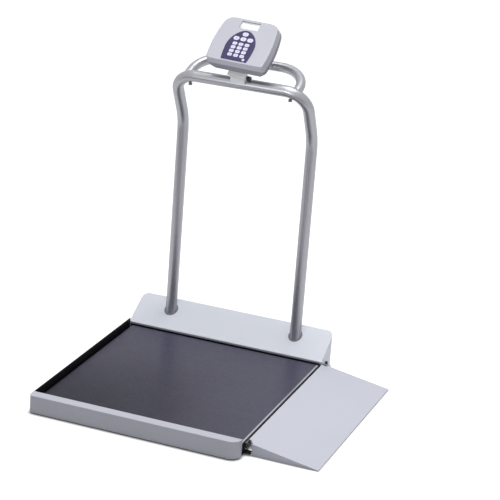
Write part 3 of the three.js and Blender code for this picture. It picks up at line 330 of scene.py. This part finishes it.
def build_tread_and_falloff():
    """Grained rubber with a painted light falloff: darkest at one place and paler away from it."""
    tree, given, result = new_group(
        "tread_and_painted_falloff",
        {"Colour": (0.1, 0.1, 0.1, 1), "Shade Place": (0, 0, 0), "Reach": 0.7,
         "Shade Tone": 0.5, "Lit Tone": 1.1},
        {"Colour": "Color", "Mask": "Float"},
    )
    where = tree.nodes.new("ShaderNodeTexCoord")
    span = tree.nodes.new("ShaderNodeVectorMath")
    span.operation = "DISTANCE"
    tree.links.new(where.outputs["Object"], span.inputs[0])
    tree.links.new(given["Shade Place"], span.inputs[1])
    share = math_node(tree, "DIVIDE", span.outputs["Value"], given["Reach"])
    patch = centred(tree, noise_value(tree, TREAD_PATCH_SCALE, DETAIL["tread_patch"]),
                    TREAD_PATCH_AMOUNT)
    grain = centred(tree, noise_value(tree, TREAD_GRAIN_SCALE, DETAIL["tread_grain"]),
                    TREAD_GRAIN_AMOUNT)
    # Painted light falloff: the tone rises from the shade tone to the lit tone with distance from
    # the shaded place
    wear = tree.nodes.new("ShaderNodeMapRange")
    wear.interpolation_type = "SMOOTHSTEP"
    tree.links.new(math_node(tree, "MULTIPLY", share, patch), wear.inputs["Value"])
    tree.links.new(given["Shade Tone"], wear.inputs["To Min"])
    tree.links.new(given["Lit Tone"], wear.inputs["To Max"])
    tone = math_node(tree, "MULTIPLY", wear.outputs["Result"], grain)
    tree.links.new(tinted(tree, given["Colour"], tone), result["Colour"])
    tree.links.new(tone, result["Mask"])


def build_edge_wear_and_highlight():
    """Bare colour along sharp edges, broken up by noise: partly the finish worn where hands and
    feet rub it, partly a painted highlight on the edges.
    """
    tree, given, result = new_group(
        "edge_wear_and_painted_highlight",
        {"Colour": (0.8, 0.8, 0.8, 1), "Edge Colour": (0.9, 0.9, 0.9, 1), "Amount": 0.5},
        {"Colour": "Color", "Mask": "Float"},
    )
    bevel = tree.nodes.new("ShaderNodeBevel")
    bevel.samples = EDGE_MARK_SAMPLES
    bevel.inputs["Radius"].default_value = EDGE_MARK_REACH
    surface = tree.nodes.new("ShaderNodeNewGeometry")
    dot = tree.nodes.new("ShaderNodeVectorMath")
    dot.operation = "DOT_PRODUCT"
    tree.links.new(bevel.outputs[0], dot.inputs[0])
    tree.links.new(surface.outputs["Normal"], dot.inputs[1])
    turned = math_node(tree, "SUBTRACT", 1.0, dot.outputs["Value"])
    patch = noise_value(tree, EDGE_MARK_PATCH_SCALE, DETAIL["edge_patch"])
    mask = math_node(tree, "MULTIPLY", math_node(tree, "MULTIPLY", turned, EDGE_MARK_GAIN), patch)
    limit = tree.nodes.new("ShaderNodeClamp")
    tree.links.new(math_node(tree, "MULTIPLY", mask, given["Amount"]), limit.inputs["Value"])
    mix = tree.nodes.new("ShaderNodeMix")
    mix.data_type = "RGBA"
    tree.links.new(limit.outputs[0], mix.inputs["Factor"])
    tree.links.new(given["Colour"], mix.inputs["A"])
    tree.links.new(given["Edge Colour"], mix.inputs["B"])
    tree.links.new(mix.outputs["Result"], result["Colour"])
    tree.links.new(limit.outputs[0], result["Mask"])


def build_handling():
    """Roughness that varies with handling, wiping and dust."""
    tree, given, result = new_group(
        "handling",
        {"Roughness": 0.5, "Amount": 0.2, "Scale": 18.0},
        {"Roughness": "Float"},
    )
    smear = noise_value(tree, given["Scale"], DETAIL["smear"])
    swing = centred(tree, smear, given["Amount"])
    tree.links.new(math_node(tree, "MULTIPLY", given["Roughness"], swing), result["Roughness"])


def shared(tree, name, values):
    """A node of a shared effect, with its inputs set by their names."""
    node = tree.nodes.new("ShaderNodeGroup")
    node.node_tree = GROUPS[name]
    for label, value in values.items():
        node.inputs[label].default_value = value
    return node


# Finishes

def srgb(red, green, blue):
    """Linear colour from 0 to 255 screen values."""
    def channel(value):
        share = value / 255.0
        return share / 12.92 if share <= 0.04045 else ((share + 0.055) / 1.055) ** 2.4
    return (channel(red), channel(green), channel(blue), 1.0)


# Bare metal under the coats, shown along edges as wear and as a painted highlight
BARE_AND_HIGHLIGHT = srgb(235, 235, 240)
# Painted light on the mat: darkest at its front left corner, paler with distance from it, with a
# painted sheen that follows
PAINTED_SHADE_PLACE = (-0.35, -0.4, 0.042)
PAINTED_FALLOFF_REACH = 0.75
PAINTED_SHADE_TONE = 0.42
PAINTED_LIGHT_TONE = 1.2
PAINTED_SHEEN = 0.5


def finish(name, colour, roughness, fleck, drift, bump, metallic=0.0, worn_and_highlit_edge=None,
           handling=(0.25, 18.0), specular=0.5):
    """A material from the shared effects.

    fleck and drift are scale and amount, bump is strength and reach, the edge colour is the colour
    under the finish, shown along edges as wear and as a painted highlight, and how much of it
    shows, and handling is amount and scale.
    """
    material = bpy.data.materials.new(name)
    material.use_nodes = True
    tree = material.node_tree
    shader = tree.nodes["Principled BSDF"]
    shader.inputs["Metallic"].default_value = metallic
    shader.inputs["Specular IOR Level"].default_value = specular
    grain = shared(tree, "coat_fleck", {"Colour": colour, "Fleck Scale": fleck[0],
                                        "Fleck Amount": fleck[1], "Drift Scale": drift[0],
                                        "Drift Amount": drift[1]})
    tone = grain.outputs["Colour"]
    # Edge wear and painted highlight: the bare colour shows along the sharp edges
    if worn_and_highlit_edge:
        edge = shared(tree, "edge_wear_and_painted_highlight", {"Edge Colour": worn_and_highlit_edge[0], "Amount": worn_and_highlit_edge[1]})
        tree.links.new(tone, edge.inputs["Colour"])
        tone = edge.outputs["Colour"]
    tree.links.new(tone, shader.inputs["Base Color"])
    wear = shared(tree, "handling", {"Roughness": roughness, "Amount": handling[0],
                                     "Scale": handling[1]})
    tree.links.new(wear.outputs["Roughness"], shader.inputs["Roughness"])
    relief = tree.nodes.new("ShaderNodeBump")
    relief.inputs["Strength"].default_value = bump[0]
    relief.inputs["Distance"].default_value = bump[1]
    tree.links.new(grain.outputs["Height"], relief.inputs["Height"])
    tree.links.new(relief.outputs["Normal"], shader.inputs["Normal"])
    return material


def silver_coat(name, colour):
    """The satin coating of the covers and the ramp, in one of its tones. The ramp wears its own
    tone; the console wears a copy painted lighter as painted light, and the curb one painted
    darker as painted shade.
    """
    return finish(name, colour, 0.42, (700, 0.16), (4, 0.05), (0.10, 0.0003),
                  worn_and_highlit_edge=(BARE_AND_HIGHLIGHT, 0.5), handling=(0.2, 9.0), specular=0.35)


def small_steel(name, colour, roughness, metallic, worn_and_highlit_edge=None):
    """The metal of pins, screws and brackets."""
    return finish(name, colour, roughness, (300, 0.18), (40, 0.15), (0.05, 0.0002), metallic,
                  worn_and_highlit_edge)


def rubber_mat_with_painted_falloff():
    """Dark rubber with its grain and painted light falloff between its colour and its shader."""
    material = finish("mat_rubber", srgb(51, 49, 74), 0.34, (420, 0.45), (3, 0.12), (0.2, 0.0004),
                      handling=(0.35, 30.0))
    tree = material.node_tree
    shader = tree.nodes["Principled BSDF"]
    base = shader.inputs["Base Color"]
    tread = shared(tree, "tread_and_painted_falloff", {"Shade Place": PAINTED_SHADE_PLACE, "Reach": PAINTED_FALLOFF_REACH,
                                        "Shade Tone": PAINTED_SHADE_TONE, "Lit Tone": PAINTED_LIGHT_TONE})
    tree.links.new(base.links[0].from_socket, tread.inputs["Colour"])
    tree.links.new(tread.outputs["Colour"], base)
    # Painted sheen: the specular level follows the painted light falloff
    sheen = math_node(tree, "MULTIPLY", tread.outputs["Mask"], PAINTED_SHEEN)
    tree.links.new(sheen, shader.inputs["Specular IOR Level"])
    return material


def clear_glass():
    """A thin clear window: mostly see-through, with a soft sheen and faint wiping marks."""
    material = bpy.data.materials.new("display_glass")
    material.use_nodes = True
    tree = material.node_tree
    shader = tree.nodes["Principled BSDF"]
    shader.inputs["Alpha"].default_value = 0.16
    shader.inputs["IOR"].default_value = 1.49
    shader.inputs["Base Color"].default_value = (1, 1, 1, 1)
    wear = shared(tree, "handling", {"Roughness": 0.08, "Amount": 0.6})
    tree.links.new(wear.outputs["Roughness"], shader.inputs["Roughness"])
    return material


def make_finishes():
    build_coat_fleck()
    build_tread_and_falloff()
    build_edge_wear_and_highlight()
    build_handling()
    return {
        "silver": silver_coat("silver_coat", srgb(214, 216, 227)),
        # The curb's coat: the same satin coating, painted darker as painted shade
        "curb": silver_coat("silver_coat_painted_shade", srgb(202, 203, 213)),
        # The console's coat: the same satin coating, painted lighter as painted light
        "console": silver_coat("silver_coat_painted_light", srgb(243, 247, 255)),
        # Hinge brackets and pins in a dark colour that partly stands for the shade around the
        # hinge, as painted shade, with edges painted light as a painted highlight
        "steel": small_steel("hinge_steel_painted_shade", srgb(52, 52, 58), 0.34, 0.7, (BARE_AND_HIGHLIGHT, 0.8)),
        "screw": small_steel("screw_steel", srgb(116, 116, 122), 0.34, 0.7),
        "zinc": small_steel("zinc_plate", srgb(190, 191, 198), 0.32, 0.9),
        "black": finish("black_coat", srgb(24, 23, 28), 0.45, (900, 0.2), (6, 0.1),
                        (0.08, 0.0002), worn_and_highlit_edge=(srgb(70, 70, 76), 0.4), specular=0.15),
        "mat": rubber_mat_with_painted_falloff(),
        "tube": finish("tube_finish", srgb(165, 165, 171), 0.36, (1200, 0.05), (7, 0.05),
                       (0.03, 0.0001), metallic=0.75, handling=(0.12, 14.0)),
        "trim": finish("edge_trim", srgb(186, 186, 194), 0.28, (1500, 0.05), (12, 0.08),
                       (0.02, 0.0001), metallic=0.9),
        "saddle": finish("saddle_paint", srgb(218, 220, 221), 0.45, (900, 0.1), (20, 0.06),
                         (0.05, 0.0002), worn_and_highlit_edge=(BARE_AND_HIGHLIGHT, 0.4)),
        "casing": finish("casing_front", srgb(190, 190, 200), 0.5, (1600, 0.05), (9, 0.04),
                         (0.12, 0.0001)),
        "back": finish("casing_back", srgb(146, 147, 156), 0.55, (1600, 0.06), (9, 0.05),
                       (0.15, 0.0001)),
        "film": finish("keypad_film", srgb(47, 43, 86), 0.38, (2200, 0.06), (30, 0.06),
                       (0.08, 0.00005)),
        "key": finish("key_cap", srgb(222, 222, 244), 0.42, (2600, 0.03), (60, 0.04),
                      (0.05, 0.00004)),
        "legend": finish("legend_ink", srgb(120, 118, 158), 0.6, (3000, 0.04), (60, 0.03),
                         (0.02, 0.00002)),
        "panel": finish("display_panel", srgb(250, 251, 253), 0.5, (2600, 0.03), (30, 0.03),
                        (0.02, 0.00004)),
        "board": finish("board_laminate", srgb(42, 104, 70), 0.4, (700, 0.2), (60, 0.3),
                        (0.06, 0.0001)),
        "wrap": finish("cell_wrap", srgb(32, 33, 38), 0.35, (900, 0.08), (30, 0.08),
                       (0.04, 0.0001)),
        "rubber": finish("foot_rubber", srgb(30, 30, 31), 0.75, (800, 0.25), (25, 0.12),
                         (0.2, 0.0003)),
        "grommet": finish("grommet_rubber", srgb(138, 138, 146), 0.6, (900, 0.1), (25, 0.06),
                          (0.1, 0.0002)),
        "knob": finish("knob_plastic", srgb(24, 24, 26), 0.5, (1200, 0.15), (40, 0.1),
                       (0.15, 0.0002)),
        "cable": finish("cable_jacket", srgb(34, 34, 36), 0.6, (900, 0.1), (25, 0.1),
                        (0.1, 0.0002)),
        "cell": finish("cell_metal", srgb(186, 188, 192), 0.35, (260, 0.1), (30, 0.08),
                       (0.06, 0.0002), metallic=0.85),
        "glass": clear_glass(),
    }


# Which node wears which finish, and how wide its edges are eased, in millimetres

DRESS = {
    "silver": {"ramp_plate": 0.8},
    "curb": {"front_curb": 4.0},
    "console": {"rear_console": 2.4},
    "steel": {"hinge_bracket_front": 0.4, "hinge_bracket_rear": 0.4,
              "hinge_pin_front": 0.5, "hinge_pin_rear": 0.5},
    "screw": {"loop_screw_left": 0.5, "loop_screw_right": 0.5},
    "black": {"base_frame": 0.5, "left_guard": 1.0, "deck_plate": 0.8, "junction_box": 1.5},
    "mat": {"deck_mat": 0},
    "trim": {"deck_edge_trim": 0.6},
    "tube": {"handrail": 0, "rear_loop": 0},
    "zinc": {"post_socket_left": 0.6, "post_socket_right": 0.6, "tilt_pin": 0.4},
    "saddle": {"tilt_saddle": 1.2, "tilt_yoke": 0.6},
    "casing": {"head_front_shell": 4.5},
    "back": {"head_rear_shell": 4.0, "battery_door": 0.5},
    "film": {"keypad_overlay": 0},
    "glass": {"display_window": 0},
    "panel": {"lcd_module": 0},
    "board": {"circuit_board": 0},
    "wrap": {"battery_pack": 1.5},
    "grommet": {"post_grommet_left": 0.4, "post_grommet_right": 0.4},
    "knob": {"tilt_knob": 0.4},
    "cable": {"signal_cable": 0},
    "rubber": {f"levelling_foot_{i}": 0.8 for i in range(1, 5)},
    "cell": {f"load_cell_{i}": 0.6 for i in range(1, 5)},
    "key": {name: 0.4 for name in nodes if name.startswith("key_")},
}


# The indicator's own frame: X across, Y into the head, Z up along its face

TILT = next(joint for joint in frame["joints"] if joint["name"] == "head_tilt")
HEAD_FORWARD = 0.0511
HEAD_RISE = 0.0562
HEAD_ANGLE = math.radians(45.5)
SEAM_DEPTH = 0.024


def head_matrix():
    """From the indicator's frame, at the foot of its face, to the model's."""
    swivel = math.atan2(TILT["axis"][1], TILT["axis"][0])
    turned = Matrix.Rotation(swivel, 4, "Z")
    origin = Vector(TILT["pos_m"]) + turned @ Vector((0, -HEAD_FORWARD, HEAD_RISE))
    return Matrix.Translation(origin) @ turned @ Matrix.Rotation(-HEAD_ANGLE, 4, "X")


# Edges

SEAM_REACH = 0.001
SEAM_SHARE = 0.12
CURB_EDGE_DROP = 0.0066
CURB_EDGE_DEPTH = 0.018
CURB_FINE_SHARE = 0.4
PLACE_DIGITS = 5
WELD_REACH = 0.00001
FLAT_ANGLE = math.radians(0.5)
SHARP_ANGLE = math.radians(32)
ROUND_STEPS = 3
LEVEL_WEIGHT = 80


def shell_share(place):
    """The seam between the indicator's shells keeps a finer edge than its face and its back."""
    depth = (head_matrix().inverted() @ place).y
    return SEAM_SHARE if abs(depth - SEAM_DEPTH) < SEAM_REACH else 1.0


def curb_share(place):
    """The curb's front top edge is the roundest, and its other outer edges are finer."""
    low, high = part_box("front_curb")
    on_top = place.z > high.z - CURB_EDGE_DROP
    at_front = place.y < low.y + CURB_EDGE_DEPTH
    return 1.0 if on_top and at_front else CURB_FINE_SHARE


def full_share(place):
    """Every outer edge is eased alike."""
    return 1.0


# The nodes that are only eased on their outer form, and the share of the width at a place
OUTER = {"front_curb": curb_share, "rear_console": full_share, "head_front_shell": shell_share,
         "head_rear_shell": shell_share}


def rounded(place):
    return tuple(round(value, PLACE_DIGITS) for value in place)


def weigh_outer_edges(piece, share):
    """Marks the edges on a node's outer form for rounding."""
    mesh = piece.data
    shape = bmesh.new()
    shape.from_mesh(mesh)
    hull = bmesh.ops.convex_hull(shape, input=shape.verts, use_existing_faces=False)
    inside = set(hull["geom_interior"]) | set(hull["geom_unused"])
    outer = {rounded(vert.co) for vert in shape.verts if vert not in inside}
    shape.free()
    weights = mesh.attributes.new("bevel_weight_edge", "FLOAT", "EDGE")
    for edge in mesh.edges:
        ends = [mesh.vertices[index].co for index in edge.vertices]
        if all(rounded(end) in outer for end in ends):
            middle = piece.matrix_world @ ((ends[0] + ends[1]) / 2)
            weights.data[edge.index].value = share(middle)


def ease_edges(piece, width):
    """Welds the node's faces, rounds its sharp edges and shades it smooth, all in modifiers."""
    mesh = piece.data
    for polygon in mesh.polygons:
        polygon.use_smooth = True
    if "custom_normal" in mesh.attributes:
        mesh.attributes.remove(mesh.attributes["custom_normal"])
    if piece.name in OUTER:
        weigh_outer_edges(piece, OUTER[piece.name])
    weld = piece.modifiers.new("weld", "WELD")
    weld.merge_threshold = WELD_REACH
    if width:
        flat = piece.modifiers.new("flat", "DECIMATE")
        flat.decimate_type = "DISSOLVE"
        flat.angle_limit = FLAT_ANGLE
        round_off = piece.modifiers.new("round", "BEVEL")
        round_off.width = width
        round_off.segments = ROUND_STEPS
        round_off.limit_method = "WEIGHT" if piece.name in OUTER else "ANGLE"
        round_off.angle_limit = SHARP_ANGLE
        round_off.use_clamp_overlap = True
        round_off.harden_normals = False
    level = piece.modifiers.new("level", "WEIGHTED_NORMAL")
    level.keep_sharp = True
    level.weight = LEVEL_WEIGHT


def dress_nodes(finishes):
    for tone, pieces in DRESS.items():
        for name, width in pieces.items():
            piece = nodes[name]
            piece.data.materials.clear()
            piece.data.materials.append(finishes[tone])
            ease_edges(piece, width * MILLI)


def add_piece(name, mesh, material, body):
    """A named piece in its finish, riding on its body."""
    mesh.materials.append(material)
    piece = bpy.data.objects.new(name, mesh)
    scene.collection.objects.link(piece)
    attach(piece, body)
    return piece


# Marks on the keys, in the indicator's frame

KEY_PROUD = 0.0008
FACE_SHIFT = -0.003
COLUMN_PITCH = 0.0222
ROW_PITCH = 0.0144
ROW_TOP = 0.0726
OVAL_PITCH = 0.025
OVAL_ROW = 0.0924
OVAL_TOP = 0.1114
ROUND_KEY = (0.032, 0.0176)
OVAL_KEYS = ("weigh", "tare", "hold")
GRID_KEYS = ("1", "2", "3", "4", "5", "6", "7", "8", "9", "clear", "0", "enter")
GRID_COLUMNS = 3
MARK_DEPTH = 0.00012
NUMBER_HEIGHT = 0.0062
NUMBER_STEPS = 3
STROKE = 0.0005


def chain(*points):
    """The strokes from each point to the next."""
    return list(zip(points[:-1], points[1:]))


def arc(radius, start, end, steps):
    """Strokes round the key's middle, between two angles in degrees."""
    angles = [math.radians(start + (end - start) * i / steps) for i in range(steps + 1)]
    return chain(*((radius * math.cos(angle), radius * math.sin(angle)) for angle in angles))


# Strokes of the marks on the keys without a number, in millimetres from the key's middle
MARKS = {
    "key_power": arc(2.6, 120, 420, 10) + chain((0, 0.8), (0, 3.4)),
    "key_weigh": chain((-3, -1.6), (3, -1.6), (0, 2.4), (-3, -1.6)),
    "key_tare": chain((-3, 0), (3, 0)) + chain((0, -2.4), (0, 2.4)),
    "key_hold": chain((-1.6, -2.2), (-1.6, 2.2)) + chain((1.6, -2.2), (1.6, 2.2)),
    "key_clear": chain((-2.2, -2.2), (2.2, 2.2)) + chain((-2.2, 2.2), (2.2, -2.2)),
    "key_enter": (chain((2.6, 1.8), (2.6, -0.8), (-2.4, -0.8), (-0.8, 1.0))
                  + chain((-2.4, -0.8), (-0.8, -2.4))),
    "key_light": arc(1.6, 0, 360, 8),
}


def key_places():
    """Each key's place on the face."""
    places = {"key_power": (0, OVAL_TOP), "key_light": ROUND_KEY}
    for i, label in enumerate(OVAL_KEYS):
        places["key_" + label] = ((i - 1) * OVAL_PITCH, OVAL_ROW)
    for i, label in enumerate(GRID_KEYS):
        row, column = divmod(i, GRID_COLUMNS)
        places["key_" + label] = ((column - 1) * COLUMN_PITCH, ROW_TOP - row * ROW_PITCH)
    return {name: (FACE_SHIFT + across, up) for name, (across, up) in places.items()}


def number_mesh(name, digit):
    curve = bpy.data.curves.new(name, "FONT")
    curve.body = digit
    curve.size = NUMBER_HEIGHT
    curve.extrude = MARK_DEPTH
    curve.align_x = "CENTER"
    curve.align_y = "CENTER"
    curve.resolution_u = NUMBER_STEPS
    holder = bpy.data.objects.new(name + "_text", curve)
    scene.collection.objects.link(holder)
    evaluated = holder.evaluated_get(bpy.context.evaluated_depsgraph_get())
    mesh = bpy.data.meshes.new_from_object(evaluated)
    bpy.data.objects.remove(holder)
    bpy.data.curves.remove(curve)
    mesh.name = name
    return mesh


def mark_mesh(name, strokes):
    """Flat bars along the strokes, in the plane of a number."""
    shape = bmesh.new()
    for ends in strokes:
        start, end = (Vector((*point, 0)) * MILLI for point in ends)
        along = end - start
        aside = Vector((-along.y, along.x, 0)).normalized() * STROKE
        turn = Matrix((along, aside, Vector((0, 0, 2 * MARK_DEPTH)))).transposed()
        for vert in bmesh.ops.create_cube(shape, size=1)["verts"]:
            vert.co = turn @ vert.co + (start + end) / 2
    mesh = bpy.data.meshes.new(name)
    shape.to_mesh(mesh)
    shape.free()
    return mesh


def print_marks(material):
    """Sets each key's mark just proud of the key, upright on the sloping face."""
    face_turn = Matrix.Rotation(math.radians(90), 4, "X")
    lift = KEY_PROUD + MARK_DEPTH / 2
    for key, (across, up) in key_places().items():
        name = "legend_" + key
        mesh = mark_mesh(name, MARKS[key]) if key in MARKS else number_mesh(name, key[-1])
        mesh.transform(head_matrix() @ Matrix.Translation((across, -lift, up)) @ face_turn)
        add_piece(name, mesh, material, key)


# Ribbed mat: ribs along Y in place of the plain slab

RIB_PITCH = 0.0025
RIB_DEPTH = 0.0005
RIB_FLAT_SHARE = 0.55


def rib_profile(low, high):
    """The mat's outline in XZ: each rib rises, has a flat top, falls and leaves a groove."""
    count = int((high.x - low.x) / RIB_PITCH)
    pitch = (high.x - low.x) / count
    flat = pitch * RIB_FLAT_SHARE
    slope = (pitch - flat) / 4
    groove = high.z - RIB_DEPTH
    profile = [(low.x, low.z), (low.x, groove)]
    for i in range(count):
        start = low.x + i * pitch
        profile += [(start + slope, high.z), (start + slope + flat, high.z)]
        if i < count - 1:
            profile += [(start + 2 * slope + flat, groove), (start + pitch, groove)]
    return profile + [(high.x, groove), (high.x, low.z)]


def lay_ribbed_mat(material):
    low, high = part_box("deck_mat")
    profile = rib_profile(low, high)
    shape = bmesh.new()
    front = [shape.verts.new((x, low.y, z)) for x, z in profile]
    rear = [shape.verts.new((x, high.y, z)) for x, z in profile]
    for i, corner in enumerate(front):
        j = (i + 1) % len(profile)
        shape.faces.new((corner, front[j], rear[j], rear[i]))
    shape.faces.new(front[::-1])
    shape.faces.new(rear)
    bmesh.ops.recalc_face_normals(shape, faces=shape.faces[:])
    mesh = bpy.data.meshes.new("ribbed_mat")
    shape.to_mesh(mesh)
    shape.free()
    mat = add_piece("ribbed_mat", mesh, material, "frame")
    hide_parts("deck_mat")


place_camera()
light_studio()
lay_floor()
lay_dark_card()
finishes = make_finishes()
dress_nodes(finishes)
lay_ribbed_mat(finishes["mat"])
print_marks(finishes["legend"])

scene.view_settings.view_transform = "Standard"
bpy.context.view_layer.update()
